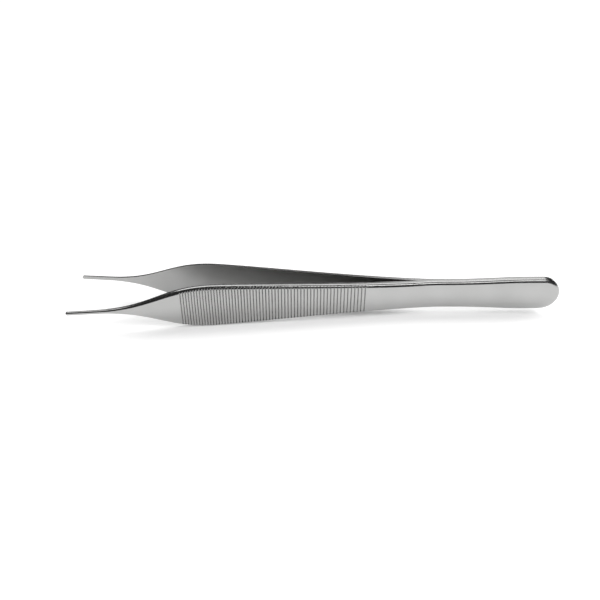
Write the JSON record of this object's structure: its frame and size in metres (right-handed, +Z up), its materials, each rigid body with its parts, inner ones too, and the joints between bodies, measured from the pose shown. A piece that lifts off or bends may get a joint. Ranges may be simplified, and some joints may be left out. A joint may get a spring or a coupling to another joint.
{
  "type": "thumb forceps",
  "caption": "Sprung steel forceps with slim blunt tips, broad cross-grooved finger grips and a flat welded heel, for picking up fine tissue.",
  "frame": {"origin": "on the resting surface, under the middle of the forceps' length", "axes": "+X towards the welded heel and -X towards the tips; the arms open along Y; +Z up across the arms' width, as the forceps lies on its long edges"},
  "size_m": [0.12, 0.017, 0.0114],
  "materials": {
    "satin_steel": "satin brushed, lengthwise"
  },
  "bodies": {
    "root": {"near_arm": "satin_steel", "far_arm": "satin_steel"}
  },
  "joints": []
}
